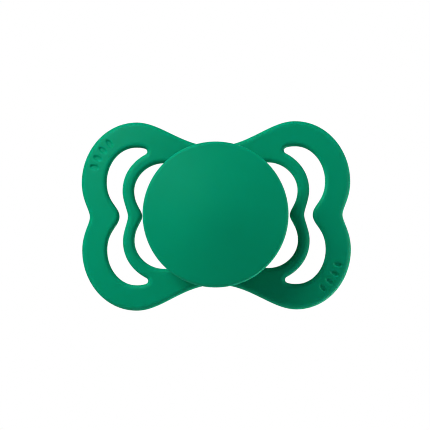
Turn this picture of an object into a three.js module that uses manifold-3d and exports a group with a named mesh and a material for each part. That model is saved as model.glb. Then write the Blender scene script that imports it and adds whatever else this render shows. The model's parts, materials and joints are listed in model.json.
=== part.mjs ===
// A one-button pacifier: a butterfly-shaped shield with ventilation openings, a round domed
// button that snaps into the shield's collar and turns in it, a hollow soft teat whose flange
// sits on a ledge in the shield, and a vented plug that holds the flange there.
//
// Units are millimetres. +Z is up, +X is to the right as seen from the button's side, the
// button faces -Y and the teat points along +Y. The pieces are drawn with the shield's rear
// face at y = 0, which a teat's length is measured from, and each mesh is then placed so that
// the origin is on the teat's axis, half way from the button's crown to the teat's tip.

import * as THREE from "three";
import { mergeVertices } from "three/addons/utils/BufferGeometryUtils.js";
import Module from "manifold-3d";

const wasm = await Module();
wasm.setup();

// ---- Driving dimensions: shield, seen from the front ----
const SHIELD_WIDTH = 56.0; // over the two pairs of lobes
const SHIELD_HEIGHT = 39.2; // over the upper and lower lobes
const WAIST_HEIGHT = 28.7; // on the centre line, between the lobes
const LOBE_REACH = 11.4; // from a lobe's side in to where it is highest
const LOBE_SIDE_Z = 7.1; // where a lobe is widest
const NOTCH_DEPTH = 1.7; // the dip between the upper and lower lobe
const RIM_WIDTH = 5.3; // the lobe's rim, outside the outer slot
const RIM_WIDTH_AT_NOTCH = 6.24;
const SLOT_WIDTH = 3.3; // the outer slot, at the lobe's side
const SLOT_WIDTH_AT_NOTCH = 1.76;
const BAND_WIDTH = 2.45; // the thin band between the two openings
const BAND_WIDTH_AT_NOTCH = 3.0;
const BAND_SIDE_DROP = 1.9; // the band is widest this much lower than the rim
const SLOT_END_RADIUS = 0.65; // the slot's rounded end
const SLOT_END_INSET_X = 1.75; // from the lobe's top to the centre of the slot's end
const SLOT_END_DROP = 0.87; // from the slot's top to the centre of its end
const INNER_TOP_DROP = 3.35; // from the slot's top down to the inner opening's top
const INNER_TOP_INSET_X = 5.8; // from the lobe's top to the inner opening's top
const INNER_END_RADIUS = 0.9; // the inner opening's rounded end, beside the hub
const INNER_END_ANGLE = 53; // degrees round the hub, from +X

// ---- Driving dimensions: shield, in section ----
const SHIELD_THICKNESS = 2.6;
const DISH_RADIUS = 48.0; // the shield's rear face bends to this radius outside the flat hub
const SEAT_THICKNESS = 1.2; // the ledge that the teat's flange rests on
const COLLAR_WALL = 1.6;
const HUB_MARGIN = 1.9; // flat hub outside the collar
const NECK_BORE_ROUND = 0.7; // at the rear mouth of the bore round the teat's neck

// ---- Driving dimensions: button ----
const BUTTON_DIAMETER = 30.0;
const BUTTON_DOME_RISE = 3.0;
const BUTTON_DOME_SLOPE = 16; // degrees, of the dome's straight outer part
const BUTTON_DOME_BLEND = 5.2; // handle length, from the rim in along that slope
const CROWN_FLAT_RADIUS = 2.0; // the small flat on the dome's crown, which the pacifier lies on
const BUTTON_RIM_THICKNESS = 1.8;
const BUTTON_RIM_ROUND = 0.7;
const BUTTON_CROWN_WALL = 2.4; // on the axis, over the stem's hollow
const STEM_WALL = 1.5;
const GRIP_GAP = 5.0; // between the shield's front and the back of the button
const SNAP_BEAD_RISE = 0.45;
const SNAP_BEAD_HALF_WIDTH = 0.6;
const SNAP_BEAD_SETBACK = 1.35; // from the stem's end to the middle of the bead
const COLLAR_ENTRY = 0.3; // how far the collar's lip goes into the recess in the button's back

// ---- Driving dimensions: teat and plug ----
const TEAT_LENGTH = 28.0; // from the shield's rear face to the tip
const TEAT_NECK_RADIUS = 4.9;
const TEAT_NECK_LENGTH = 7.0;
const TEAT_BULB_WIDTH = 17.2; // along X, at the bulb's widest
const TEAT_BULB_DEPTH = 13.0; // along Z: the bulb is flattened the same on both sides
const TEAT_BULB_Y = 18.2; // where the bulb is widest
const TEAT_WALL = 1.1;
const TEAT_FLANGE_RADIUS = 6.9;
const TEAT_FLANGE_THICKNESS = 1.4;
const PLUG_FLANGE_THICKNESS = 1.0;
const PLUG_REACH = 5.5; // how far the plug's barrel goes past the shield's rear face
const PLUG_LEAD = 0.7; // the chamfer on the barrel's end
const PLUG_VENT_RADIUS = 0.9;
const VENT_SLOT_WIDTH = 1.0;
const VENT_SLOT_DEPTH = 0.4;

// ---- Clearances ----
const REST_GAP = 0.15; // between faces that rest on each other
const SIDE_GAP = 0.2; // round a soft or dropped-in piece
const TURN_GAP = 0.08; // radial, between the button's stem and the collar that it turns in
const LIP_GAP = 0.3; // round the collar's lip, in the recess in the button's back

// ---- Sizes that follow ----
const NECK_BORE_RADIUS = TEAT_NECK_RADIUS + SIDE_GAP;
const COLLAR_BORE_RADIUS = TEAT_FLANGE_RADIUS + SIDE_GAP;
const COLLAR_RADIUS = COLLAR_BORE_RADIUS + COLLAR_WALL;
const HUB_RADIUS = COLLAR_RADIUS + HUB_MARGIN;
const STEM_RADIUS = COLLAR_BORE_RADIUS - TURN_GAP;
const SNAP_BEAD_RADIUS = STEM_RADIUS + SNAP_BEAD_RISE;
const SNAP_GROOVE_RADIUS = SNAP_BEAD_RADIUS + REST_GAP;

const HUB_FRONT_Y = -SHIELD_THICKNESS;
const SEAT_Y = -SEAT_THICKNESS;
const TEAT_FLANGE_REAR_Y = SEAT_Y - REST_GAP;
const TEAT_FLANGE_FRONT_Y = TEAT_FLANGE_REAR_Y - TEAT_FLANGE_THICKNESS;
const PLUG_FLANGE_REAR_Y = TEAT_FLANGE_FRONT_Y - REST_GAP;
const PLUG_FLANGE_FRONT_Y = PLUG_FLANGE_REAR_Y - PLUG_FLANGE_THICKNESS;
const STEM_END_Y = PLUG_FLANGE_FRONT_Y - REST_GAP;
const SNAP_Y = STEM_END_Y - SNAP_BEAD_SETBACK;
const BUTTON_REAR_Y = HUB_FRONT_Y - GRIP_GAP;
const COLLAR_LIP_Y = BUTTON_REAR_Y - COLLAR_ENTRY;
const BUTTON_RIM_Y = BUTTON_REAR_Y - BUTTON_RIM_THICKNESS;
const BUTTON_APEX_Y = BUTTON_RIM_Y - BUTTON_DOME_RISE;
const REAR_FACE_Y = -(BUTTON_APEX_Y + TEAT_LENGTH) / 2;

// ---- Mesh fineness ----
const LATHE_SEGMENTS = 48;
const ARC_STEPS = 8;
const CURVE_STEPS = 7;

const GREEN = new THREE.MeshStandardMaterial({ color: 0x05835f, roughness: 0.55, metalness: 0 });
const AMBER = new THREE.MeshStandardMaterial({ color: 0xd9a35b, roughness: 0.35, metalness: 0 });

// ---- Helpers ----
const at = (x, y) => new THREE.Vector2(x, y);

/** A closed three.js geometry as a manifold solid, its seams merged. */
function solidFrom(geometry) {
  const bare = geometry.clone();
  bare.deleteAttribute("normal");
  bare.deleteAttribute("uv");
  const merged = mergeVertices(bare, 1e-4);
  return new wasm.Manifold(
    new wasm.Mesh({
      numProp: 3,
      vertProperties: merged.attributes.position.array,
      triVerts: new Uint32Array(merged.index.array),
    }),
  );
}

/** A manifold solid as a named mesh, placed along the teat's axis. */
function meshFrom(name, solid, material) {
  const { vertProperties, triVerts } = solid.getMesh();
  const geometry = new THREE.BufferGeometry()
    .setAttribute("position", new THREE.BufferAttribute(vertProperties, 3))
    .setIndex(new THREE.BufferAttribute(triVerts, 1));
  geometry.computeVertexNormals();
  const mesh = new THREE.Mesh(geometry, material);
  mesh.name = name;
  mesh.position.y = REAR_FACE_Y;
  return mesh;
}

/** A solid of revolution about the Y axis. The profile is in (radius, y). */
function turned(profile) {
  return solidFrom(new THREE.LatheGeometry(profile, LATHE_SEGMENTS));
}

/** A closed ring profile needs its first point again at its end. */
const closed = (profile) => [...profile, profile[0].clone()];

/** Points on an arc about (cx, cy), from angle a to b in degrees, both ends kept. */
function arc(cx, cy, radius, a, b, steps = ARC_STEPS) {
  return Array.from({ length: steps + 1 }, (_, i) => {
    const angle = THREE.MathUtils.degToRad(THREE.MathUtils.lerp(a, b, i / steps));
    return at(cx + radius * Math.cos(angle), cy + radius * Math.sin(angle));
  });
}

/** Points on a cubic from a to b. Each end has a direction in degrees and a handle length. */
function curve(a, aDirection, aHandle, b, bDirection, bHandle, steps = CURVE_STEPS) {
  const ahead = (p, degrees, length) => {
    const angle = THREE.MathUtils.degToRad(degrees);
    return at(p.x + length * Math.cos(angle), p.y + length * Math.sin(angle));
  };
  const startHandle = ahead(a, aDirection, aHandle);
  const endHandle = ahead(b, bDirection, -bHandle);
  return new THREE.CubicBezierCurve(a, startHandle, endHandle, b).getPoints(steps);
}

/** Joins point lists, leaving out a point that repeats the one before it. */
function chain(...lists) {
  const joined = [];
  for (const point of lists.flat()) {
    if (!joined.length || joined.at(-1).distanceTo(point) > 1e-6) joined.push(point);
  }
  return joined;
}

const mirrorX = (points) => points.map((p) => at(-p.x, p.y)).reverse();
const mirrorZ = (points) => points.map((p) => at(p.x, -p.y)).reverse();

/** A straight prism along Y, over the given y range, of an outline in (x, z). */
function prism(outline, yLow, yHigh) {
  const points = outline.at(0).distanceTo(outline.at(-1)) < 1e-6 ? outline.slice(0, -1) : outline;
  const shape = new THREE.Shape(points);
  const geometry = new THREE.ExtrudeGeometry(shape, { depth: yHigh - yLow, bevelEnabled: false });
  geometry.rotateX(Math.PI / 2);
  geometry.translate(0, yHigh, 0);
  return solidFrom(geometry);
}

// ---- Shield ----
const LOBE_TOP_X = SHIELD_WIDTH / 2 - LOBE_REACH;
const NOTCH_X = SHIELD_WIDTH / 2 - NOTCH_DEPTH;
const SLOT_TOP_Z = SHIELD_HEIGHT / 2 - RIM_WIDTH;
const SLOT_OUTER_X = SHIELD_WIDTH / 2 - RIM_WIDTH;
const SLOT_INNER_X = SLOT_OUTER_X - SLOT_WIDTH;
const SLOT_OUTER_NOTCH_X = NOTCH_X - RIM_WIDTH_AT_NOTCH;
const SLOT_INNER_NOTCH_X = SLOT_OUTER_NOTCH_X - SLOT_WIDTH_AT_NOTCH;
const BAND_INNER_X = SLOT_INNER_X - BAND_WIDTH;
const BAND_INNER_NOTCH_X = SLOT_INNER_NOTCH_X - BAND_WIDTH_AT_NOTCH;
const BAND_SIDE_Z = LOBE_SIDE_Z - BAND_SIDE_DROP;

/** The shield's outline: one quarter from the waist round the lobe to the notch, mirrored twice. */
function shieldOutline() {
  const waist = at(0, WAIST_HEIGHT / 2);
  const top = at(LOBE_TOP_X, SHIELD_HEIGHT / 2);
  const side = at(SHIELD_WIDTH / 2, LOBE_SIDE_Z);
  const notch = at(NOTCH_X, 0);
  const quarter = chain(
    curve(waist, 0, 6.9, top, 0, 5.3),
    curve(top, 0, 6.6, side, -90, 6.6),
    curve(side, -90, 3.6, notch, -90, 1.4),
  );
  const half = chain(quarter, mirrorZ(quarter));
  return chain(half, mirrorX(half));
}

/** The slot between the rim and the band: its upper half from the band's notch to the rim's, mirrored. */
function slotOutline() {
  const endX = LOBE_TOP_X - SLOT_END_INSET_X;
  const endZ = SLOT_TOP_Z - SLOT_END_DROP;
  const end = arc(endX, endZ, SLOT_END_RADIUS, 243, 104);
  const top = at(LOBE_TOP_X, SLOT_TOP_Z);
  const innerSide = at(SLOT_INNER_X, BAND_SIDE_Z);
  const outerSide = at(SLOT_OUTER_X, LOBE_SIDE_Z);
  const upper = chain(
    curve(at(SLOT_INNER_NOTCH_X, 0), 90, 1.1, innerSide, 90, 2.0),
    curve(innerSide, 90, 4.1, end[0], 153, 2.4),
    end,
    curve(end.at(-1), 14, 0.8, top, 0, 1.0),
    curve(top, 0, 3.5, outerSide, -90, 3.8),
    curve(outerSide, -90, 4.2, at(SLOT_OUTER_NOTCH_X, 0), -90, 2.1),
  );
  return chain(upper, mirrorZ(upper));
}

/** The opening between the band and the hub. It runs on inside the hub, which is left standing. */
function innerOpeningOutline() {
  const bandSide = at(BAND_INNER_X, BAND_SIDE_Z);
  const top = at(LOBE_TOP_X - INNER_TOP_INSET_X, SLOT_TOP_Z - INNER_TOP_DROP);
  const endAngle = THREE.MathUtils.degToRad(INNER_END_ANGLE);
  const endReach = HUB_RADIUS + INNER_END_RADIUS;
  const endX = endReach * Math.cos(endAngle);
  const endZ = endReach * Math.sin(endAngle);
  const end = arc(endX, endZ, INNER_END_RADIUS, 105, 180 + INNER_END_ANGLE);
  const upper = chain(
    curve(at(BAND_INNER_NOTCH_X, 0), 90, 1.2, bandSide, 90, 2.8),
    curve(bandSide, 90, 2.9, top, 180, 3.5),
    curve(top, 180, 1.6, end[0], 195, 1.2),
    end,
    [at(endX / 2, endZ / 2)],
  );
  return chain(upper, mirrorZ(upper));
}

/** The shield's section: flat hub with seat and collar, and a dished wing of even thickness. */
function shieldProfile() {
  const reach = Math.hypot(SHIELD_WIDTH, SHIELD_HEIGHT) / 2;
  const rearAngle = THREE.MathUtils.radToDeg(Math.asin((reach - HUB_RADIUS) / DISH_RADIUS));
  const frontRadius = DISH_RADIUS + SHIELD_THICKNESS;
  const frontAngle = THREE.MathUtils.radToDeg(Math.asin((reach - HUB_RADIUS) / frontRadius));
  return closed([
    at(COLLAR_RADIUS, HUB_FRONT_Y),
    ...arc(HUB_RADIUS, DISH_RADIUS, frontRadius, -90, -90 + frontAngle),
    ...arc(HUB_RADIUS, DISH_RADIUS, DISH_RADIUS, -90 + rearAngle, -90),
    at(NECK_BORE_RADIUS + NECK_BORE_ROUND, 0),
    at(NECK_BORE_RADIUS, -NECK_BORE_ROUND),
    at(NECK_BORE_RADIUS, SEAT_Y),
    at(COLLAR_BORE_RADIUS, SEAT_Y),
    at(COLLAR_BORE_RADIUS, SNAP_Y + SNAP_BEAD_HALF_WIDTH + REST_GAP),
    at(SNAP_GROOVE_RADIUS, SNAP_Y + REST_GAP),
    at(SNAP_GROOVE_RADIUS, SNAP_Y - REST_GAP),
    at(COLLAR_BORE_RADIUS, SNAP_Y - SNAP_BEAD_HALF_WIDTH - REST_GAP),
    at(COLLAR_BORE_RADIUS, COLLAR_LIP_Y),
    at(COLLAR_RADIUS, COLLAR_LIP_Y),
  ]);
}

function makeShield() {
  const past = SHIELD_WIDTH;
  const hub = turned([at(0, -past), at(HUB_RADIUS, -past), at(HUB_RADIUS, past), at(0, past)]);
  const rightSlot = prism(slotOutline(), -past, past);
  const leftSlot = prism(mirrorX(slotOutline()), -past, past);
  const rightOpening = prism(innerOpeningOutline(), -past, past).subtract(hub);
  const leftOpening = prism(mirrorX(innerOpeningOutline()), -past, past).subtract(hub);
  return turned(shieldProfile())
    .intersect(prism(shieldOutline(), -past, past))
    .subtract(rightSlot)
    .subtract(leftSlot)
    .subtract(rightOpening)
    .subtract(leftOpening);
}

// ---- Button ----
function makeButton() {
  const edge = BUTTON_DIAMETER / 2;
  const round = BUTTON_RIM_ROUND;
  const slope = THREE.MathUtils.degToRad(BUTTON_DOME_SLOPE);
  const crownEdge = at(CROWN_FLAT_RADIUS, BUTTON_APEX_Y);
  const crownHandle = edge - BUTTON_DOME_RISE / Math.tan(slope) - CROWN_FLAT_RADIUS;
  const domeEnd = at(edge - round, BUTTON_RIM_Y - round * Math.tan(slope));
  const blend = BUTTON_DOME_BLEND - round;
  const recessRadius = COLLAR_RADIUS + LIP_GAP;
  const recessY = COLLAR_LIP_Y - LIP_GAP;
  const hollowRadius = STEM_RADIUS - STEM_WALL;
  const hollowY = BUTTON_APEX_Y + BUTTON_CROWN_WALL;
  return turned([
    at(0, BUTTON_APEX_Y),
    ...curve(crownEdge, 0, crownHandle, domeEnd, BUTTON_DOME_SLOPE, blend),
    at(edge, BUTTON_RIM_Y + round / 2),
    at(edge, BUTTON_REAR_Y - round),
    at(edge - round, BUTTON_REAR_Y),
    at(recessRadius, BUTTON_REAR_Y),
    at(recessRadius, recessY),
    at(STEM_RADIUS, recessY),
    at(STEM_RADIUS, SNAP_Y - SNAP_BEAD_HALF_WIDTH),
    at(SNAP_BEAD_RADIUS, SNAP_Y),
    at(STEM_RADIUS, SNAP_Y + SNAP_BEAD_HALF_WIDTH),
    at(STEM_RADIUS, STEM_END_Y),
    at(hollowRadius, STEM_END_Y),
    at(hollowRadius, hollowY),
    at(0, hollowY),
  ]);
}

// ---- Teat ----
/** The teat's outer line in (radius, y), from the flange's front round the bulb to the tip. */
function teatOuterLine() {
  const neckEnd = at(TEAT_NECK_RADIUS, TEAT_NECK_LENGTH);
  const bulb = at(TEAT_BULB_WIDTH / 2, TEAT_BULB_Y);
  return chain(
    [at(TEAT_NECK_RADIUS, TEAT_FLANGE_REAR_Y), neckEnd],
    curve(neckEnd, 90, 4.6, bulb, 90, 4.6),
    curve(bulb, 90, 5.4, at(0, TEAT_LENGTH), 180, 4.9),
  );
}

/** The same line moved inwards by the wall, as far as the axis. */
function teatInnerLine(outer) {
  const inner = outer.map((point, i) => {
    const before = outer[Math.max(i - 1, 0)];
    const after = outer[Math.min(i + 1, outer.length - 1)];
    const along = at(after.x - before.x, after.y - before.y).normalize();
    return at(point.x - TEAT_WALL * along.y, point.y + TEAT_WALL * along.x);
  });
  inner[0] = at(TEAT_NECK_RADIUS - TEAT_WALL, TEAT_FLANGE_FRONT_Y);
  inner[inner.length - 1] = at(0, TEAT_LENGTH - TEAT_WALL);
  return inner;
}

function makeTeat() {
  const outer = teatOuterLine();
  const profile = [
    at(TEAT_NECK_RADIUS - TEAT_WALL, TEAT_FLANGE_FRONT_Y),
    at(TEAT_FLANGE_RADIUS, TEAT_FLANGE_FRONT_Y),
    at(TEAT_FLANGE_RADIUS, TEAT_FLANGE_REAR_Y),
    ...outer,
    ...teatInnerLine(outer).reverse(),
  ];
  const geometry = new THREE.LatheGeometry(chain(profile), LATHE_SEGMENTS);
  const position = geometry.attributes.position;
  const flatness = TEAT_BULB_DEPTH / TEAT_BULB_WIDTH;
  for (let i = 0; i < position.count; i += 1) {
    const share = THREE.MathUtils.smoothstep(position.getY(i), TEAT_NECK_LENGTH, TEAT_BULB_Y);
    position.setZ(i, position.getZ(i) * THREE.MathUtils.lerp(1, flatness, share));
  }
  return solidFrom(geometry);
}

// ---- Plug ----
function makePlug() {
  const barrel = TEAT_NECK_RADIUS - TEAT_WALL - REST_GAP;
  const body = turned(
    closed([
      at(PLUG_VENT_RADIUS, PLUG_FLANGE_FRONT_Y),
      at(TEAT_FLANGE_RADIUS, PLUG_FLANGE_FRONT_Y),
      at(TEAT_FLANGE_RADIUS, PLUG_FLANGE_REAR_Y),
      at(barrel, PLUG_FLANGE_REAR_Y),
      at(barrel, PLUG_REACH - PLUG_LEAD),
      at(barrel - PLUG_LEAD, PLUG_REACH),
      at(PLUG_VENT_RADIUS, PLUG_REACH),
    ]),
  );
  const slot = new THREE.BoxGeometry(3 * TEAT_FLANGE_RADIUS, 2 * VENT_SLOT_DEPTH, VENT_SLOT_WIDTH);
  slot.translate(0, PLUG_FLANGE_FRONT_Y, 0);
  const crossSlot = slot.clone().rotateY(Math.PI / 2);
  return body.subtract(solidFrom(slot)).subtract(solidFrom(crossSlot));
}

// ---- Assembly ----
const pacifier = new THREE.Group();
pacifier.add(
  meshFrom("shield", makeShield(), GREEN),
  meshFrom("button", makeButton(), GREEN),
  meshFrom("teat", makeTeat(), AMBER),
  meshFrom("plug", makePlug(), GREEN),
);

export default pacifier;
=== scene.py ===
"""Finished look of a one-button pacifier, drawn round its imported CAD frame.

The CAD pieces give the places and the outer sizes. Each visible piece is drawn again here as a
fine, rounded mesh and takes its node's place: the dished shield with its vent openings and
collar, the domed button, the soft hollow teat and the vented plug in the teat's root.
"""

import json
import logging
import math
from dataclasses import dataclass, field
from enum import Enum
from typing import Callable, Iterable, Sequence

import bmesh
import bpy
import numpy as np
from mathutils import Matrix, Vector
from mathutils.geometry import delaunay_2d_cdt


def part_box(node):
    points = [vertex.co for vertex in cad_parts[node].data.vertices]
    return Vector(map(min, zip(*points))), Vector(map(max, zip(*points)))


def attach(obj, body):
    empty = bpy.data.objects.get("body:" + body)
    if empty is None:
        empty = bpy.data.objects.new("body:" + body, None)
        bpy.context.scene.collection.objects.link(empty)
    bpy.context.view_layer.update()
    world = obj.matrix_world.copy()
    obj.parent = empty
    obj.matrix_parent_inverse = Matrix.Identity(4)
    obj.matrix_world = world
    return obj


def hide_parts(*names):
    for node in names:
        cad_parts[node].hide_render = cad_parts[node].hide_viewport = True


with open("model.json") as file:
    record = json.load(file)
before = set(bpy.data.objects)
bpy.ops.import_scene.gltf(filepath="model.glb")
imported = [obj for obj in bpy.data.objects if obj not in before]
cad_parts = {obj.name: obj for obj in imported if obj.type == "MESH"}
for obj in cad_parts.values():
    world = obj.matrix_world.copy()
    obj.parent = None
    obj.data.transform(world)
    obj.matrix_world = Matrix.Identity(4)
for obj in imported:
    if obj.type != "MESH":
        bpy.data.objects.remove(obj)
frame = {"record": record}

LOG = logging.getLogger("pacifier")
MM = 0.001

Point2 = tuple[float, float]
Point3 = tuple[float, float, float]
Ring = list[int]


class Face(Enum):
    """The two broad faces of the shield."""

    FRONT = "front"
    REAR = "rear"


class Body(Enum):
    """The rigid bodies that pieces ride on."""

    SHIELD = "shield_body"
    BUTTON = "button_body"


# ---- Lines in a plane ----


def heading(degrees: float) -> np.ndarray:
    """Gives the unit vector at an angle, counted from the first axis."""
    return np.array((math.cos(math.radians(degrees)), math.sin(math.radians(degrees))))


def cubic(
    start: Point2,
    start_heading: float,
    start_pull: float,
    end: Point2,
    end_heading: float,
    end_pull: float,
    steps: int = 60,
) -> np.ndarray:
    """Draws a cubic curve between two points with given headings.

    Args:
        start: first point.
        start_heading: direction of travel there, in degrees.
        start_pull: length of the handle there.
        end: last point.
        end_heading: direction of travel there, in degrees.
        end_pull: length of the handle there.
        steps: number of spans.

    Returns:
        Points along the curve, one row each, both ends kept.
    """
    first = np.array(start, float)
    last = np.array(end, float)
    second = first + start_pull * heading(start_heading)
    third = last - end_pull * heading(end_heading)
    t = np.linspace(0.0, 1.0, steps + 1)[:, None]
    s = 1.0 - t
    return s**3 * first + 3 * s**2 * t * second + 3 * s * t**2 * third + t**3 * last


def arc(centre: Point2, radius: float, start: float, end: float, steps: int = 24) -> np.ndarray:
    """Draws an arc, with angles in degrees, both ends kept."""
    angles = np.radians(np.linspace(start, end, steps + 1))
    return np.array(centre) + radius * np.column_stack((np.cos(angles), np.sin(angles)))


def chained(*lines: np.ndarray) -> np.ndarray:
    """Joins lines end to end.

    Args:
        lines: point rows, each line starting where the one before it ends.

    Returns:
        One line with no repeated points.
    """
    points = np.vstack(lines)
    steps = np.linalg.norm(np.diff(points, axis=0), axis=1)
    return points[np.concatenate(([True], steps > 1e-9))]


def evenly(line: np.ndarray, spacing: float) -> np.ndarray:
    """Places points along an open line at equal steps.

    Args:
        line: point rows, closely spaced.
        spacing: wanted step, which is rounded so that a whole number of steps fits.

    Returns:
        Point rows, both ends kept.
    """
    lengths = np.linalg.norm(np.diff(line, axis=0), axis=1)
    along = np.concatenate(([0.0], np.cumsum(lengths)))
    count = max(2, round(along[-1] / spacing))
    wanted = np.linspace(0.0, along[-1], count + 1)
    return np.column_stack([np.interp(wanted, along, line[:, k]) for k in range(2)])


def mirrored(line: np.ndarray, sign_x: int, sign_z: int) -> np.ndarray:
    """Mirrors a line and turns its direction round, so that it carries on from the original."""
    return (line * np.array((sign_x, sign_z)))[::-1]


def inside(points: np.ndarray, loop: np.ndarray) -> np.ndarray:
    """Tests which points lie inside a closed loop.

    Args:
        points: point rows to test.
        loop: point rows of the loop, first point not repeated.

    Returns:
        One truth value for each point.
    """
    px, pz = points[:, 0][:, None], points[:, 1][:, None]
    ax, az = loop[:, 0][None], loop[:, 1][None]
    bx, bz = np.roll(loop[:, 0], -1)[None], np.roll(loop[:, 1], -1)[None]
    spans = (az > pz) != (bz > pz)
    rise = np.where(spans, bz - az, 1.0)
    crossing = ax + (pz - az) * (bx - ax) / rise
    return (np.sum(spans & (px < crossing), axis=1) % 2).astype(bool)


@dataclass(frozen=True)
class Border:
    """One closed edge of the shield in plan, with the direction into the material."""

    points: np.ndarray
    material_outside: bool

    def inward(self) -> np.ndarray:
        """Gives the direction into the material.

        Returns:
            One unit vector for each point.
        """
        ahead = np.roll(self.points, -1, axis=0) - np.roll(self.points, 1, axis=0)
        ahead /= np.linalg.norm(ahead, axis=1)[:, None]
        left = np.column_stack((-ahead[:, 1], ahead[:, 0]))
        x, z = self.points[:, 0], self.points[:, 1]
        turns_left = np.sum(x * np.roll(z, -1) - z * np.roll(x, -1)) > 0
        return left if turns_left != self.material_outside else -left

    def inset(self, distance: float) -> np.ndarray:
        """Moves the edge into the material by a distance."""
        return self.points + distance * self.inward()


# ---- Closed meshes ----


class MeshDraft:
    """The points and faces of one closed piece while it is drawn."""

    def __init__(self) -> None:
        """Starts with nothing drawn."""
        self.points: list[Point3] = []
        self.faces: list[Sequence[int]] = []

    def ring(self, points: Iterable[Point3]) -> Ring:
        """Adds a row of points.

        Args:
            points: the points in order.

        Returns:
            Their numbers.
        """
        first = len(self.points)
        self.points.extend((float(x), float(y), float(z)) for x, y, z in points)
        return list(range(first, len(self.points)))

    def bridge(self, one: Ring, other: Ring) -> None:
        """Joins two closed rings with a band of quads.

        Args:
            one: the first ring.
            other: the second ring, with as many points.
        """
        for k, point in enumerate(one):
            after = (k + 1) % len(one)
            self.faces.append((point, one[after], other[after], other[k]))

    def lathe_ring(self, radius: float, y: float, sides: int) -> Ring:
        """Adds a circle of points about the Y axis."""
        turns = [2 * math.pi * k / sides for k in range(sides)]
        return self.ring((radius * math.cos(a), y, radius * math.sin(a)) for a in turns)

    def lathe(self, profile: Sequence[Point2], sides: int) -> list[Ring]:
        """Turns a line about the Y axis.

        Args:
            profile: (radius, y) pairs, none on the axis.
            sides: number of points round each ring.

        Returns:
            The rings in the profile's order.
        """
        rings = [self.lathe_ring(radius, y, sides) for radius, y in profile]
        for one, other in zip(rings, rings[1:]):
            self.bridge(one, other)
        return rings

    def crown(self, edge: Ring, radius: float, height: Callable[[float], float]) -> None:
        """Closes a circle with a grid of quads that has no pole.

        Args:
            edge: the circle's points, in turning order from +X towards +Z, a multiple of eight.
            radius: the circle's radius.
            height: gives y at a distance from the axis.
        """
        sides = len(edge)
        cells = sides // 4
        numbers: dict[tuple[int, int], int] = {}
        for i in range(cells + 1):
            for j in range(cells + 1):
                u, v = 2 * i / cells - 1, 2 * j / cells - 1
                reach = max(abs(u), abs(v))
                if reach == 0:
                    angle = 0.0
                elif abs(u) >= abs(v):
                    angle = math.pi / 4 * v / u + (math.pi if u < 0 else 0)
                else:
                    angle = math.pi / 2 - math.pi / 4 * u / v + (math.pi if v < 0 else 0)
                if i in (0, cells) or j in (0, cells):
                    numbers[i, j] = edge[round(angle * sides / (2 * math.pi)) % sides]
                    continue
                r = reach * radius
                point = (r * math.cos(angle), height(r), r * math.sin(angle))
                numbers[i, j] = self.ring([point])[0]
        for i in range(cells):
            for j in range(cells):
                corners = ((i, j), (i + 1, j), (i + 1, j + 1), (i, j + 1))
                self.faces.append(tuple(numbers[c] for c in corners))

    def reshape(self, move: Callable[[Point3], Point3]) -> None:
        """Moves every point drawn so far."""
        self.points = [move(point) for point in self.points]

    def piece(self, name: str, crease: float = 40.0) -> bpy.types.Object:
        """Makes the finished object from what is drawn.

        Args:
            name: the piece's name.
            crease: faces that meet at more than this angle, in degrees, keep a crisp edge.

        Returns:
            The object, linked to the scene.

        Raises:
            ValueError: if the drawn faces don't close up.
        """
        mesh = bpy.data.meshes.new(name)
        mesh.from_pydata(self.points, [], self.faces)
        work = bmesh.new()
        work.from_mesh(mesh)
        triangles = [face for face in work.faces if len(face.verts) == 3]
        bmesh.ops.join_triangles(
            work,
            faces=triangles,
            angle_face_threshold=math.radians(12),
            angle_shape_threshold=math.radians(50),
        )
        bmesh.ops.recalc_face_normals(work, faces=work.faces)
        open_edges = sum(1 for edge in work.edges if not edge.is_manifold)
        if open_edges:
            raise ValueError(f"{name} has {open_edges} edges that don't join two faces")
        work.to_mesh(mesh)
        work.free()
        mesh.polygons.foreach_set("use_smooth", [True] * len(mesh.polygons))
        mesh.set_sharp_from_angle(angle=math.radians(crease))
        made = bpy.data.objects.new(name, mesh)
        bpy.context.scene.collection.objects.link(made)
        return made


# ---- Finishes ----


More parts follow.
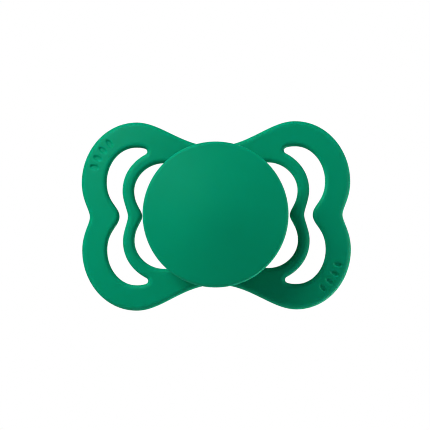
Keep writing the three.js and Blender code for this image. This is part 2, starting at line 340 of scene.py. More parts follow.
@dataclass(frozen=True)
class Finish:
    """A procedural finish: a cloudy colour and polish, and a fine relief."""

    name: str
    colours: tuple[Point3, Point3]
    roughness: tuple[float, float]
    gloss: float
    scatter: float
    scatter_colours: Point3
    scatter_reach: float
    cloud_size: float
    cloud_detail: float
    relief_size: float
    relief_detail: float
    relief_depth: float

    @staticmethod
    def noise(place: bpy.types.Node, size: float, detail: float) -> bpy.types.Node:
        """Adds a noise texture to the material.

        Args:
            place: the node that gives places on the piece.
            size: how large the texture's clouds are.
            detail: how many finer layers it has.

        Returns:
            The texture's node.
        """
        tree = place.id_data
        texture = tree.nodes.new("ShaderNodeTexNoise")
        texture.inputs["Scale"].default_value = 1 / size
        texture.inputs["Detail"].default_value = detail
        tree.links.new(place.outputs["Object"], texture.inputs["Vector"])
        return texture

    def material(self) -> bpy.types.Material:
        """Builds the node material.

        Returns:
            The material, with colour drift, uneven polish, scattering and relief.
        """
        made = bpy.data.materials.new(self.name)
        made.use_nodes = True
        nodes, links = made.node_tree.nodes, made.node_tree.links
        shader = nodes["Principled BSDF"]
        shader.inputs["Specular IOR Level"].default_value = self.gloss
        shader.inputs["Subsurface Weight"].default_value = self.scatter
        shader.inputs["Subsurface Radius"].default_value = self.scatter_colours
        shader.inputs["Subsurface Scale"].default_value = self.scatter_reach
        place = nodes.new("ShaderNodeTexCoord")

        cloud = self.noise(place, self.cloud_size, self.cloud_detail)
        tint = nodes.new("ShaderNodeMix")
        tint.data_type = "RGBA"
        tint.inputs["A"].default_value = (*self.colours[0], 1)
        tint.inputs["B"].default_value = (*self.colours[1], 1)
        links.new(cloud.outputs["Fac"], tint.inputs["Factor"])
        links.new(tint.outputs["Result"], shader.inputs["Base Color"])

        polish = nodes.new("ShaderNodeMapRange")
        polish.inputs["To Min"].default_value = self.roughness[0]
        polish.inputs["To Max"].default_value = self.roughness[1]
        links.new(cloud.outputs["Fac"], polish.inputs["Value"])
        links.new(polish.outputs["Result"], shader.inputs["Roughness"])

        relief = self.noise(place, self.relief_size, self.relief_detail)
        bump = nodes.new("ShaderNodeBump")
        bump.inputs["Distance"].default_value = self.relief_depth
        links.new(relief.outputs["Fac"], bump.inputs["Height"])
        links.new(bump.outputs["Normal"], shader.inputs["Normal"])
        return made


def spread(colour: Point3, share: float) -> tuple[Point3, Point3]:
    """Gives a colour made a little darker and a little lighter."""
    return tuple(c * (1 - share) for c in colour), tuple(c * (1 + share) for c in colour)


@dataclass(frozen=True)
class MouldedGreen(Finish):
    """Deep green polypropylene with the fine matte grain of the mould."""

    name: str = "moulded_green"
    colours: tuple[Point3, Point3] = spread((0.0, 0.257, 0.132), 0.03)
    roughness: tuple[float, float] = (0.5, 0.6)
    gloss: float = 0.03
    scatter: float = 0.6
    scatter_colours: Point3 = (0.2, 1.0, 0.6)
    scatter_reach: float = 0.5 * MM
    cloud_size: float = 7 * MM
    cloud_detail: float = 3
    relief_size: float = 0.12 * MM
    relief_detail: float = 2
    relief_depth: float = 0.002 * MM


@dataclass(frozen=True)
class NaturalLatex(Finish):
    """Amber natural rubber latex: smooth, a little cloudy, and glowing where light gets through."""

    name: str = "natural_latex"
    colours: tuple[Point3, Point3] = ((0.76, 0.43, 0.15), (0.62, 0.31, 0.085))
    roughness: tuple[float, float] = (0.3, 0.42)
    gloss: float = 0.45
    scatter: float = 0.85
    scatter_colours: Point3 = (1.0, 0.5, 0.2)
    scatter_reach: float = 4 * MM
    cloud_size: float = 9 * MM
    cloud_detail: float = 4
    relief_size: float = 2.2 * MM
    relief_detail: float = 1
    relief_depth: float = 0.02 * MM


# ---- The shield ----


@dataclass(frozen=True)
class ShieldPlan:
    """The shield as seen from the front: outline, outer slots and inner openings."""

    width: float
    height: float
    hub_radius: float = 10.6 * MM
    waist_height: float = 28.7 * MM
    lobe_reach: float = 11.4 * MM
    lobe_side_z: float = 7.1 * MM
    notch_depth: float = 1.7 * MM
    rim_width: float = 5.3 * MM
    rim_width_at_notch: float = 6.24 * MM
    slot_width: float = 3.3 * MM
    slot_width_at_notch: float = 1.76 * MM
    band_width: float = 2.45 * MM
    band_width_at_notch: float = 3.0 * MM
    band_side_drop: float = 1.9 * MM
    slot_end_radius: float = 0.65 * MM
    slot_end_inset_x: float = 1.75 * MM
    slot_end_drop: float = 0.87 * MM
    inner_top_drop: float = 3.35 * MM
    inner_top_inset_x: float = 5.8 * MM
    inner_end_radius: float = 0.9 * MM
    inner_end_angle: float = 53.0
    edge_step: float = 0.36 * MM

    @property
    def lobe_top_x(self) -> float:
        """Gives the place where a lobe is highest."""
        return self.width / 2 - self.lobe_reach

    @property
    def slot_top_z(self) -> float:
        """Gives the height of the outer slot's top."""
        return self.height / 2 - self.rim_width

    @property
    def slot_outer_x(self) -> float:
        """Gives the outer slot's far side."""
        return self.width / 2 - self.rim_width

    @property
    def slot_inner_x(self) -> float:
        """Gives the outer slot's near side, which is the band's outer edge."""
        return self.slot_outer_x - self.slot_width

    @property
    def notch_x(self) -> float:
        """Gives the bottom of the dip between the upper and lower lobe."""
        return self.width / 2 - self.notch_depth

    @property
    def slot_outer_notch_x(self) -> float:
        """Gives the rim's inner edge at mid height."""
        return self.notch_x - self.rim_width_at_notch

    @property
    def slot_inner_notch_x(self) -> float:
        """Gives the band's outer edge at mid height."""
        return self.slot_outer_notch_x - self.slot_width_at_notch

    @property
    def band_side_z(self) -> float:
        """Gives the height at which the band is furthest out."""
        return self.lobe_side_z - self.band_side_drop

    def outline(self) -> Border:
        """Draws the outer edge: a quarter from waist to notch, mirrored twice.

        Returns:
            The edge, with the material inside it.
        """
        waist = (0.0, self.waist_height / 2)
        top = (self.lobe_top_x, self.height / 2)
        side = (self.width / 2, self.lobe_side_z)
        quarter = chained(
            cubic(waist, 0, 6.9 * MM, top, 0, 5.3 * MM),
            cubic(top, 0, 6.6 * MM, side, -90, 6.6 * MM),
            cubic(side, -90, 3.6 * MM, (self.notch_x, 0.0), -90, 1.4 * MM),
        )
        quarter = evenly(quarter, self.edge_step)
        half = chained(quarter, mirrored(quarter, 1, -1))
        return Border(chained(half, mirrored(half, -1, 1))[:-1], material_outside=False)

    def slot(self) -> Border:
        """Draws the right-hand outer slot: its upper half, mirrored.

        Returns:
            The edge, with the material outside it.
        """
        end_centre = (
            self.lobe_top_x - self.slot_end_inset_x,
            self.slot_top_z - self.slot_end_drop,
        )
        end = arc(end_centre, self.slot_end_radius, 243, 104)
        inner_side = (self.slot_inner_x, self.band_side_z)
        outer_side = (self.slot_outer_x, self.lobe_side_z)
        top = (self.lobe_top_x, self.slot_top_z)
        inner_notch = (self.slot_inner_notch_x, 0.0)
        outer_notch = (self.slot_outer_notch_x, 0.0)
        upper = chained(
            cubic(inner_notch, 90, 1.1 * MM, inner_side, 90, 2.0 * MM),
            cubic(inner_side, 90, 4.1 * MM, tuple(end[0]), 153, 2.4 * MM),
            end,
            cubic(tuple(end[-1]), 14, 0.8 * MM, top, 0, 1.0 * MM),
            cubic(top, 0, 3.5 * MM, outer_side, -90, 3.8 * MM),
            cubic(outer_side, -90, 4.2 * MM, outer_notch, -90, 2.1 * MM),
        )
        upper = evenly(upper, self.edge_step)
        return Border(chained(upper, mirrored(upper, 1, -1))[:-1], material_outside=True)

    def opening(self) -> Border:
        """Draws the right-hand opening between the band and the hub: its upper half, mirrored.

        Returns:
            The edge, with the material outside it.
        """
        band_side = (self.slot_inner_x - self.band_width, self.band_side_z)
        band_notch = (self.slot_inner_notch_x - self.band_width_at_notch, 0.0)
        top = (self.lobe_top_x - self.inner_top_inset_x, self.slot_top_z - self.inner_top_drop)
        end_reach = self.hub_radius + self.inner_end_radius
        end_centre = tuple(end_reach * heading(self.inner_end_angle))
        end = arc(end_centre, self.inner_end_radius, 105, 180 + self.inner_end_angle)
        upper = chained(
            cubic(band_notch, 90, 1.2 * MM, band_side, 90, 2.8 * MM),
            cubic(band_side, 90, 2.9 * MM, top, 180, 3.5 * MM),
            cubic(top, 180, 1.6 * MM, tuple(end[0]), 195, 1.2 * MM),
            end,
            arc((0.0, 0.0), self.hub_radius, self.inner_end_angle, 0),
        )
        upper = evenly(upper, self.edge_step)
        return Border(chained(upper, mirrored(upper, 1, -1))[:-1], material_outside=True)

    def borders(self) -> list[Border]:
        """Draws all the shield's edges.

        Returns:
            The outline and then the four holes.
        """
        right = [self.slot(), self.opening()]
        left = [Border(mirrored(b.points, -1, 1), material_outside=True) for b in right]
        return [self.outline(), *right, *left]


@dataclass(frozen=True)
class Marks:
    """Shallow oval dimples in a row on two opposite lobes, as decoration."""

    lobe_centre: Point2 = (16.6 * MM, 8.2 * MM)
    row_radius: float = 8.9 * MM
    angles: tuple[float, ...] = (52.0, 39.3, 26.6, 14.0)
    half_length: float = 1.15 * MM
    half_width: float = 0.6 * MM
    depth: float = 0.34 * MM
    wall_start: float = 0.5
    rows: tuple[tuple[float, int], ...] = (
        (0.28, 10),
        (0.5, 16),
        (0.62, 22),
        (0.75, 26),
        (0.87, 28),
        (1.0, 30),
        (1.16, 32),
    )

    def places(self) -> list[tuple[np.ndarray, np.ndarray]]:
        """Works out where the dimples lie.

        Returns:
            Each dimple's centre and the direction of its long axis.
        """
        made = []
        for sign_x, sign_z in ((-1, 1), (1, -1)):
            mirror = np.array((sign_x, sign_z))
            for angle in self.angles:
                out = heading(angle)
                centre = np.array(self.lobe_centre) + self.row_radius * out
                made.append((mirror * centre, mirror * out))
        return made

    def reach(self, points: np.ndarray, place: tuple[np.ndarray, np.ndarray]) -> np.ndarray:
        """Measures how far points are from a dimple's middle.

        Args:
            points: (x, z) rows.
            place: the dimple's centre and the direction of its long axis.

        Returns:
            One distance for each point, which is 1 at the dimple's edge.
        """
        centre, long_axis = place
        away = points - centre
        along = away @ long_axis / self.half_length
        across = away @ np.array((-long_axis[1], long_axis[0])) / self.half_width
        return np.hypot(along, across)

    def sink(self, points: np.ndarray) -> np.ndarray:
        """Gives the depth of the dimples.

        Args:
            points: (x, z) rows.

        Returns:
            One depth for each point.
        """
        total = np.zeros(len(points))
        for place in self.places():
            share = np.clip((1 - self.reach(points, place)) / (1 - self.wall_start), 0, 1)
            total += self.depth * share * share * (3 - 2 * share)
        return total

    def drawing_points(self) -> np.ndarray:
        """Lays out the points that draw each dimple's floor and wall.

        Returns:
            (x, z) rows.
        """
        made = []
        for centre, long_axis in self.places():
            short_axis = np.array((-long_axis[1], long_axis[0]))
            made.append(centre[None])
            for reach, count in self.rows:
                turns = np.linspace(0, 2 * math.pi, count, endpoint=False)
                long_part = np.cos(turns)[:, None] * long_axis * self.half_length
                short_part = np.sin(turns)[:, None] * short_axis * self.half_width
                made.append(centre + reach * (long_part + short_part))
        return np.vstack(made)


@dataclass
class Shield:
    """The dished shield with its vent openings, and the collar that the button turns in."""

    plan: ShieldPlan
    rear_y: float
    thickness: float = 2.6 * MM
    dish_radius: float = 48.0 * MM
    rim_round: float = 0.95 * MM
    hole_round: float = 1.05 * MM
    edge_steps: int = 7
    support: float = 0.07 * MM
    grid_step: float = 0.8 * MM
    collar_radius: float = 8.7 * MM
    collar_front: float = 7.9 * MM
    collar_root_round: float = 0.5 * MM
    bore_radius: float = 7.1 * MM
    groove_radius: float = 7.6 * MM
    groove_front: float = 6.15 * MM
    groove_rear: float = 4.65 * MM
    seat_depth: float = 1.2 * MM
    neck_bore_radius: float = 5.1 * MM
    mouth_round: float = 0.7 * MM
    lip_round: float = 0.25 * MM
    groove_slope: float = 0.6 * MM
    edge_clearance: float = 0.5
    mark_clearance: float = 0.4
    sides: int = 112
    marks: Marks = field(default_factory=Marks)

    def face_y(self, points: np.ndarray, face: Face) -> np.ndarray:
        """Gives the dished surface's y.

        Args:
            points: (x, z) rows.
            face: which broad face.

        Returns:
            One y for each point.
        """
        past_hub = np.maximum(np.hypot(points[:, 0], points[:, 1]) - self.plan.hub_radius, 0.0)
        bend = self.dish_radius + (self.thickness if face is Face.FRONT else 0.0)
        dished = self.rear_y + self.dish_radius - np.sqrt(bend**2 - past_hub**2)
        return dished + (self.marks.sink(points) if face is Face.FRONT else 0.0)

    def edge_rows(self, draft: MeshDraft, border: Border) -> list[Ring]:
        """Draws the rounded wall along one border, from the front face to the rear face.

        Args:
            draft: the mesh to add to.
            border: the border in plan.

        Returns:
            The rings of points, the first on the front face and the last on the rear face.
        """
        radius = self.hole_round if border.material_outside else self.rim_round
        turns = np.radians(np.linspace(90, 0, self.edge_steps + 1))
        bends = [(radius * (1 - math.cos(turn)), radius * (1 - math.sin(turn))) for turn in turns]
        bends.insert(0, (radius + self.support, 0.0))
        rows = [(*bend, Face.FRONT) for bend in bends]
        rows += [(*bend, Face.REAR) for bend in bends[::-1]]
        rings = []
        for inset, depth, face in rows:
            plan = border.inset(inset)
            y = self.face_y(plan, face) + (depth if face is Face.FRONT else -depth)
            rings.append(draft.ring(zip(plan[:, 0], y, plan[:, 1])))
        for one, other in zip(rings, rings[1:]):
            draft.bridge(one, other)
        return rings

    def collar_profile(self) -> list[Point2]:
        """Draws the collar and bore in section, from the front face round to the rear face.

        Returns:
            (radius, y) pairs.
        """
        front = self.rear_y - self.thickness
        lip = self.rear_y - self.collar_front
        lip_round, slope = self.lip_round, self.groove_slope
        root, mouth = self.collar_root_round, self.mouth_round
        outer, bore, neck = self.collar_radius, self.bore_radius, self.neck_bore_radius
        groove_front = self.rear_y - self.groove_front
        groove_rear = self.rear_y - self.groove_rear
        seat = self.rear_y - self.seat_depth
        return [
            *map(tuple, arc((outer + root, front - root), root, 90, 180, 6)),
            *map(tuple, arc((outer - lip_round, lip + lip_round), lip_round, 0, -90, 5)),
            *map(tuple, arc((bore + lip_round, lip + lip_round), lip_round, -90, -180, 5)),
            (bore, groove_front),
            (self.groove_radius, groove_front + slope),
            (self.groove_radius, groove_rear - slope),
            (bore, groove_rear),
            (bore, seat),
            (neck, seat),
            *map(tuple, arc((neck + mouth, self.rear_y - mouth), mouth, 180, 90, 6)),
        ]

    def inner_points(
        self, kept: list[np.ndarray], outer: np.ndarray, holes: list[np.ndarray]
    ) -> np.ndarray:
        """Lays a grid over a broad face, clear of its edges and of the points already kept there.

        Args:
            kept: rows of points that are already in place, away from the edges.
            outer: the face's outer loop.
            holes: the face's holes.

        Returns:
            The grid's points and the kept ones.
        """
        half_x = math.ceil(self.plan.width / 2 / self.grid_step)
        half_z = math.ceil(self.plan.height / 2 / self.grid_step)
        x, z = np.meshgrid(np.arange(-half_x, half_x + 1), np.arange(-half_z, half_z + 1))
        grid = np.column_stack((x.ravel(), z.ravel())) * self.grid_step
        keep = inside(grid, outer)
        for hole in holes:
            keep &= ~inside(grid, hole)
        grid = grid[keep]
        near = [(loop, self.edge_clearance) for loop in (outer, *holes)]
        near += [(rows, self.mark_clearance) for rows in kept]
        for rows, clearance in near:
            gaps = np.hypot(grid[:, 0][:, None] - rows[:, 0], grid[:, 1][:, None] - rows[:, 1])
            grid = grid[gaps.min(axis=1) > clearance * self.grid_step]
        return np.vstack((grid, *kept))

    def fill_face(self, draft: MeshDraft, loops: list[Ring], face: Face) -> None:
        """Fills a broad face between its edge rings.

        Args:
            draft: the mesh to add to.
            loops: rings of points already drawn, the outer one first.
            face: which broad face.
        """
        plans = [np.array([draft.points[n][::2] for n in loop]) for loop in loops]
        kept = [self.marks.drawing_points()] if face is Face.FRONT else []
        grid = self.inner_points(kept, plans[0], plans[1:])
        edges = []
        first = 0
        for plan in plans:
            count = len(plan)
            edges += [(first + k, first + (k + 1) % count) for k in range(count)]
            first += count
        flat = np.vstack((*plans, grid)) / MM
        filled = delaunay_2d_cdt([Vector(p) for p in flat], edges, [], 0, 1e-5)
        corners, triangles, sources = filled[0], filled[2], filled[3]
        y = self.face_y(grid, face)
        numbers = [n for loop in loops for n in loop]
        numbers += draft.ring(zip(grid[:, 0], y, grid[:, 1]))
        middles = np.array([sum((corners[k] for k in t), Vector((0, 0))) / 3 for t in triangles])
        middles = middles * MM
        keep = inside(middles, plans[0])
        for plan in plans[1:]:
            keep &= ~inside(middles, plan)
        for triangle, wanted in zip(triangles, keep):
            if wanted:
                draft.faces.append(tuple(numbers[sources[k][0]] for k in triangle))

    def build(self) -> bpy.types.Object:
        """Draws the shield as one closed mesh.

        Returns:
            The piece, not yet dressed.
        """
        draft = MeshDraft()
        walls = [self.edge_rows(draft, border) for border in self.plan.borders()]
        collar = draft.lathe(self.collar_profile(), self.sides)
        self.fill_face(draft, [*(wall[0] for wall in walls), collar[0]], Face.FRONT)
        self.fill_face(draft, [*(wall[-1] for wall in walls), collar[-1]], Face.REAR)
        return draft.piece("shield_moulding")


# ---- Turned pieces ----


@dataclass
class Button:
    """The round domed button with the hollow stem that snaps into the shield's collar."""

    radius: float
    apex_y: float
    rear_y: float
    stem_end_y: float
    dome_rise: float = 3.0 * MM
    dome_slope: float = 16.0
    dome_blend: float = 5.2 * MM
    rim_round: float = 0.9 * MM
    back_round: float = 0.6 * MM
    recess_radius: float = 9.0 * MM
    recess_depth: float = 0.6 * MM
    stem_radius: float = 7.02 * MM
    bead_radius: float = 7.47 * MM
    bead_half_width: float = 0.6 * MM
    bead_setback: float = 1.35 * MM
    stem_wall: float = 1.5 * MM
    crown_wall: float = 2.4 * MM
    cap_radius: float = 5.0 * MM
    recess_lip: float = 0.15 * MM
    stem_root: float = 0.2 * MM
    bead_flat: float = 0.1 * MM
    stem_lead: float = 0.25 * MM
    floor_round: float = 0.5 * MM
    sides: int = 160

    def dome_line(self) -> np.ndarray:
        """Draws the dome in section, from its crown out to the rim's corner.

        Returns:
            (radius, y) rows.
        """
        crown = (0.0, self.apex_y)
        corner = (self.radius, self.apex_y + self.dome_rise)
        straight = self.dome_rise / math.tan(math.radians(self.dome_slope))
        pull = self.radius - straight
        return cubic(crown, 0, pull, corner, self.dome_slope, self.dome_blend, steps=200)

    def dome_y(self, r: float) -> float:
        """Gives the dome's y at a distance from the axis."""
        line = self.dome_line()
        return float(np.interp(r, line[:, 0], line[:, 1]))

    def outer_profile(self) -> list[Point2]:
        """Draws the section from the dome's cap round the rim to the recess behind it.

        Returns:
            (radius, y) pairs.
        """
        slope = math.radians(self.dome_slope)
        rim_r = self.radius - self.rim_round
        rim_y = self.dome_y(rim_r) + self.rim_round / math.cos(slope)
        touch = rim_r + self.rim_round * math.sin(slope)
        dome = [(r, self.dome_y(r)) for r in np.linspace(self.cap_radius, touch, 24)]
        rim = arc((rim_r, rim_y), self.rim_round, self.dome_slope - 90, 0, 9)
        back_centre = (self.radius - self.back_round, self.rear_y - self.back_round)
        back = arc(back_centre, self.back_round, 0, 90, 6)
        return [*dome, *map(tuple, rim[1:]), *map(tuple, back)]

    def stem_profile(self) -> list[Point2]:
        """Draws the section from the recess along the stem and into its hollow.

        Returns:
            (radius, y) pairs.
        """
        recess_y = self.rear_y - self.recess_depth
        bead_y = self.stem_end_y - self.bead_setback
        hollow = self.stem_radius - self.stem_wall
        lead, floor_round = self.stem_lead, self.floor_round
        floor_y = self.apex_y + self.crown_wall
        return [
            (self.recess_radius + self.recess_lip, self.rear_y),
            (self.recess_radius, self.rear_y - self.recess_lip),
            (self.recess_radius, recess_y),
            (self.stem_radius + self.stem_root, recess_y),
            (self.stem_radius, recess_y + self.stem_root),
            (self.stem_radius, bead_y - self.bead_half_width),
            (self.bead_radius, bead_y - self.bead_flat),
            (self.bead_radius, bead_y + self.bead_flat),
            (self.stem_radius, bead_y + self.bead_half_width),
            (self.stem_radius, self.stem_end_y - lead),
            (self.stem_radius - lead, self.stem_end_y),
            (hollow + lead, self.stem_end_y),
            (hollow, self.stem_end_y - lead),
            *map(tuple, arc((hollow - floor_round, floor_y + floor_round), floor_round, 0, -90, 5)),
        ]

    def build(self) -> bpy.types.Object:
        """Draws the button as one closed mesh.

        Returns:
            The piece, not yet dressed.
        """
        draft = MeshDraft()
        rings = draft.lathe([*self.outer_profile(), *self.stem_profile()], self.sides)
        draft.crown(rings[0], self.cap_radius, self.dome_y)
        floor_radius, floor_y = self.stem_profile()[-1]
        draft.crown(rings[-1], floor_radius, lambda r: floor_y)
        return draft.piece("button_moulding")


@dataclass
class Teat:
    """The hollow soft teat: flange, neck and a bulb flattened the same above and below."""

    rear_y: float
    length: float
    bulb_width: float
    bulb_depth: float = 13.0 * MM
    neck_radius: float = 4.9 * MM
    neck_length: float = 7.0 * MM
    bulb_y: float = 18.2 * MM
    wall: float = 1.1 * MM
    flange_radius: float = 6.9 * MM
    flange_rear: float = -1.35 * MM
    flange_front: float = -2.75 * MM
    flange_round: float = 0.25 * MM
    root_round: float = 0.35 * MM
    bore_round: float = 0.3 * MM
    wall_start: float = 0.4 * MM
    bore_start: float = 0.8 * MM
    cap_radius: float = 2.2 * MM
    outer_step: float = 0.55 * MM
    inner_step: float = 0.6 * MM
    sides: int = 96

    def outer_line(self) -> np.ndarray:
        """Draws the outside in section from the neck's root to the tip, on the axis.

        Returns:
            (radius, y) rows, with y counted from the shield's rear face.
        """
        neck_end = (self.neck_radius, self.neck_length)
        bulb = (self.bulb_width / 2, self.bulb_y)
        root_centre = (self.neck_radius + self.root_round, self.flange_rear + self.root_round)
        root = arc(root_centre, self.root_round, 270, 180, 4)
        return chained(
            root,
            np.array((root[-1], neck_end)),
            cubic(neck_end, 90, 4.6 * MM, bulb, 90, 4.6 * MM),
            cubic(bulb, 90, 5.4 * MM, (0.0, self.length), 180, 4.9 * MM),
        )

    def flattened(self, point: Point3) -> Point3:
        """Flattens the bulb and moves the teat to its place.

        Args:
            point: a point with y counted from the shield's rear face.

        Returns:
            The point in the shared frame.
        """
        x, y, z = point
        share = min(max((y - self.neck_length) / (self.bulb_y - self.neck_length), 0.0), 1.0)
        share = share * share * (3 - 2 * share)
        scale = 1 + share * (self.bulb_depth / self.bulb_width - 1)
        return x, y + self.rear_y, z * scale

    def wall_line(self, line: np.ndarray) -> np.ndarray:
        """Moves a line inwards by the wall.

        Args:
            line: (radius, y) rows.

        Returns:
            The moved rows.
        """
        ahead = np.gradient(line, axis=0)
        ahead /= np.linalg.norm(ahead, axis=1)[:, None]
        return line + self.wall * np.column_stack((-ahead[:, 1], ahead[:, 0]))

    def build(self) -> bpy.types.Object:
        """Draws the teat as one closed hollow mesh, open at its flange.

        Returns:
            The piece, not yet dressed.
        """
        draft = MeshDraft()
        outer = self.outer_line()
        inner = self.wall_line(outer)
        front = self.flange_front
        inner = inner[inner[:, 1] > front + self.wall_start]
        tip_y, inner_tip_y = outer[-1][1], inner[-1][1]
        outer_walk = evenly(outer[outer[:, 0] > self.cap_radius], self.outer_step)
        inner_walk = evenly(inner[inner[:, 0] > self.cap_radius], self.inner_step)
        flange_round, bore_round = self.flange_round, self.bore_round
        edge = self.flange_radius - flange_round
        bore = self.neck_radius - self.wall
        profile = [
            *map(tuple, outer_walk[::-1]),
            *map(tuple, arc((edge, self.flange_rear - flange_round), flange_round, 90, 0, 3)),
            *map(tuple, arc((edge, front + flange_round), flange_round, 0, -90, 3)),
            *map(tuple, arc((bore + bore_round, front + bore_round), bore_round, 270, 180, 3)),
            *map(tuple, inner_walk[inner_walk[:, 1] > front + self.bore_start]),
        ]
        rings = draft.lathe(profile, self.sides)
        draft.crown(rings[0], profile[0][0], self.tip(profile[0], tip_y))
        draft.crown(rings[-1], profile[-1][0], self.tip(profile[-1], inner_tip_y))
        draft.reshape(self.flattened)
        return draft.piece("teat_latex")

    def tip(self, edge: Point2, tip_y: float) -> Callable[[float], float]:
        """Gives the rounded tip's y at a distance from the axis.

        Args:
            edge: radius and y where the tip's cap starts.
            tip_y: y on the axis.

        Returns:
            A function of the distance from the axis.
        """
        radius, edge_y = edge
        rise = tip_y - edge_y
        sphere = (radius**2 + rise**2) / (2 * rise)
        return lambda r: tip_y - sphere + math.sqrt(sphere**2 - r**2)


@dataclass
class Plug:
    """The vented plug that backs the teat's flange and stiffens its root."""

    front_y: float
    end_y: float
    flange_radius: float = 6.9 * MM
    flange_thickness: float = 1.0 * MM
    barrel_radius: float = 3.65 * MM
    lead: float = 0.7 * MM
    vent_radius: float = 0.9 * MM
    vent_slot_depth: float = 0.4 * MM
    vent_slot_half_angle: float = 8.0
    edge_round: float = 0.15 * MM
    barrel_root: float = 0.3 * MM
    vent_lead: float = 0.2 * MM
    vent_rim: float = 1.6 * MM
    sides: int = 96

    def build(self) -> bpy.types.Object:
        """Draws the plug as one closed mesh, with four vent slots across the flange's front.

        Returns:
            The piece, not yet dressed.
        """
        draft = MeshDraft()
        rear_y = self.front_y + self.flange_thickness
        edge = self.flange_radius - self.edge_round
        profile = [
            (self.vent_radius, self.front_y),
            *((r, self.front_y) for r in np.linspace(self.vent_rim, edge, 8)),
            (self.flange_radius, self.front_y + self.edge_round),
            (self.flange_radius, self.front_y + 0.5 * self.flange_thickness),
            (self.flange_radius, rear_y - self.edge_round),
            (edge, rear_y),
            (self.barrel_radius + self.barrel_root, rear_y),
            (self.barrel_radius, rear_y + self.barrel_root),
            (self.barrel_radius, self.end_y - self.lead),
            (self.barrel_radius - self.lead, self.end_y),
            (self.vent_radius + self.vent_lead, self.end_y),
            (self.vent_radius, self.end_y - self.vent_lead),
        ]
        rings = draft.lathe(profile, self.sides)
        draft.bridge(rings[-1], rings[0])
        draft.reshape(self.slotted)
        return draft.piece("plug_moulding")

    def slotted(self, point: Point3) -> Point3:
        """Sinks a point of the flange's front that lies in a vent slot.

        Args:
            point: a point of the plug.

        Returns:
            The point, moved back if it lies in a slot.
        """
        x, y, z = point
        nearest = abs((math.degrees(math.atan2(z, x)) + 45) % 90 - 45)
        if y > self.front_y + self.edge_round + 1e-9 or nearest > self.vent_slot_half_angle:
            return point
        return x, y + self.vent_slot_depth, z


# ---- The studio ----


@dataclass(frozen=True)
class Lamp:
    """One square soft light that faces the object."""

    name: str
    direction: Point3
    power: float
    distance: float = 1.2
    size: float = 0.6

    def place(self) -> None:
        """Makes the light, which the camera doesn't see."""
        lamp = bpy.data.lights.new(self.name, "AREA")
        lamp.shape = "SQUARE"
        lamp.size = self.size
        lamp.energy = self.power
        light = bpy.data.objects.new(self.name, lamp)
        bpy.context.scene.collection.objects.link(light)
        back = Vector(self.direction).normalized()
        turn = back.to_track_quat("Z", "Y").to_matrix().to_4x4()
        light.matrix_world = Matrix.Translation(back * self.distance) @ turn
        light.visible_camera = False


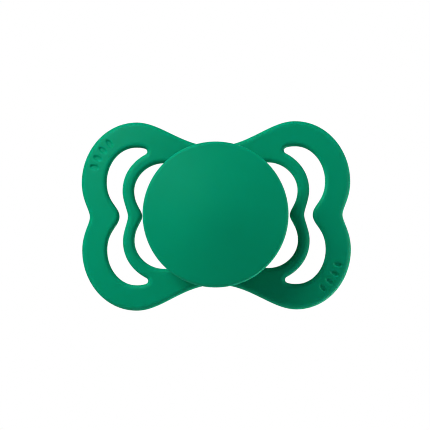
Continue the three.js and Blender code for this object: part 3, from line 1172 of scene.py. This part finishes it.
@dataclass
class Studio:
    """A pale floor, soft lights and the camera."""

    distance: float = 0.7
    azimuth: float = 0.75
    elevation: float = -1.8
    roll: float = 0.46
    view_width: float = 89.58 * MM
    aim: Point3 = (-0.245 * MM, -6.3 * MM, 0.205 * MM)
    floor_z: float = -0.8
    floor_size: float = 16.0
    floor_glow: float = 0.76
    lamps: tuple[Lamp, ...] = (
        Lamp("key", (-0.57, -0.55, 0.62), 19.9),
        Lamp("upper_right", (0.66, -0.34, 0.66), 2.8),
        Lamp("front", (0.0, -1.0, 0.0), 1.0, size=0.5),
        Lamp("side", (0.97, 0.12, -0.1), 12.0),
        Lamp("lower_left", (-0.92, -0.1, -0.38), 1.7),
        Lamp("below_right", (0.55, 0.55, -0.63), 14.0),
        Lamp("below_left", (-0.25, 0.6, -0.76), 1.2, distance=1.0, size=0.5),
        Lamp("below", (0.3, -0.4, -0.87), 1.6, distance=0.8, size=0.8),
        Lamp("under", (-0.1, -0.05, -1.0), 2.4, distance=0.75),
        Lamp("back", (-0.1, 0.97, 0.2), 5.0, size=0.8),
    )

    def place_camera(self) -> None:
        """Makes the camera: a long lens, nearly square on and from just below."""
        lens = bpy.data.cameras.new("camera")
        lens.sensor_width = 36.0
        lens.lens = lens.sensor_width / 2 / (self.view_width / 2 / self.distance)
        lens.clip_start = 0.01
        lens.clip_end = 50.0
        camera = bpy.data.objects.new("camera", lens)
        bpy.context.scene.collection.objects.link(camera)
        a, e = math.radians(self.azimuth), math.radians(self.elevation)
        back = Vector((math.sin(a) * math.cos(e), -math.cos(a) * math.cos(e), math.sin(e)))
        turn = back.to_track_quat("Z", "Y").to_matrix().to_4x4()
        spin = Matrix.Rotation(math.radians(-self.roll), 4, "Z")
        stand = Vector(self.aim) + self.distance * back
        camera.matrix_world = Matrix.Translation(stand) @ turn @ spin
        bpy.context.scene.camera = camera

    def place_floor(self) -> None:
        """Makes the plain pale floor, well below the object.

        It glows evenly, so that it stays pale in every view, and it throws no light at the object.
        """
        half = self.floor_size / 2
        mesh = bpy.data.meshes.new("floor")
        corners = [(-half, -half), (half, -half), (half, half), (-half, half)]
        mesh.from_pydata([(x, y, self.floor_z) for x, y in corners], [], [(0, 1, 2, 3)])
        floor = bpy.data.objects.new("floor", mesh)
        bpy.context.scene.collection.objects.link(floor)
        paint = bpy.data.materials.new("pale_floor")
        paint.use_nodes = True
        shader = paint.node_tree.nodes["Principled BSDF"]
        shader.inputs["Base Color"].default_value = (0.8, 0.8, 0.8, 1)
        shader.inputs["Roughness"].default_value = 0.9
        shader.inputs["Emission Color"].default_value = (1, 1, 1, 1)
        shader.inputs["Emission Strength"].default_value = self.floor_glow
        floor.visible_diffuse = False
        floor.visible_glossy = False
        mesh.materials.append(paint)

    def place_surroundings(self, white: float, fill: float) -> None:
        """Makes the plain white surroundings.

        Args:
            white: how bright they look.
            fill: how much light they give.
        """
        world = bpy.data.worlds.new("surroundings")
        bpy.context.scene.world = world
        world.use_nodes = True
        nodes, links = world.node_tree.nodes, world.node_tree.links
        background = nodes["Background"]
        background.inputs["Color"].default_value = (1, 1, 1, 1)
        seen = nodes.new("ShaderNodeLightPath")
        strength = nodes.new("ShaderNodeMapRange")
        strength.inputs["To Min"].default_value = fill
        strength.inputs["To Max"].default_value = white
        links.new(seen.outputs["Is Camera Ray"], strength.inputs["Value"])
        links.new(strength.outputs["Result"], background.inputs["Strength"])

    def build(self) -> None:
        """Sets up floor, lights, surroundings and camera."""
        self.place_floor()
        self.place_surroundings(white=1.0, fill=0.0)
        for lamp in self.lamps:
            lamp.place()
        self.place_camera()
        bpy.context.scene.view_settings.view_transform = "Standard"
        bpy.context.scene.cycles.filter_width = 1.0


# ---- Assembly ----


def dress(
    piece: bpy.types.Object,
    material: bpy.types.Material,
    body: Body,
    node: str,
) -> None:
    """Gives a piece its finish and its place in the assembly.

    Args:
        piece: the drawn piece.
        material: its finish.
        body: the body that it rides on.
        node: the CAD node that it stands for.
    """
    piece.data.materials.append(material)
    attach(piece, body.value)
    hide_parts(node)
    LOG.info("%s: %d faces, rides on %s", piece.name, len(piece.data.polygons), body.value)


def main() -> None:
    """Builds the pacifier and the studio."""
    logging.basicConfig(level=logging.INFO, format="%(name)s: %(message)s")
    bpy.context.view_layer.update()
    low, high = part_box("shield")
    button_low, button_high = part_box("button")
    teat_low, teat_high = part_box("teat")
    plug_low, plug_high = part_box("plug")
    rear_face = next(m for m in frame["record"]["mounts"] if m["name"] == "hub_rear_face")
    button_back = next(m for m in frame["record"]["mounts"] if m["name"] == "button_rear_face")
    rear_y = rear_face["pos_m"][1]

    green = MouldedGreen().material()
    latex = NaturalLatex().material()

    plan = ShieldPlan(width=high.x - low.x, height=high.z - low.z)
    shield = Shield(plan=plan, rear_y=rear_y)
    dress(shield.build(), green, Body.SHIELD, "shield")

    button = Button(
        radius=button_high.x,
        apex_y=button_low.y,
        rear_y=button_back["pos_m"][1],
        stem_end_y=button_high.y,
    )
    dress(button.build(), green, Body.BUTTON, "button")

    teat = Teat(rear_y=rear_y, length=teat_high.y - rear_y, bulb_width=teat_high.x - teat_low.x)
    dress(teat.build(), latex, Body.SHIELD, "teat")

    plug = Plug(front_y=plug_low.y, end_y=plug_high.y)
    dress(plug.build(), green, Body.SHIELD, "plug")

    Studio().build()


if __name__ == "__main__":
    main()
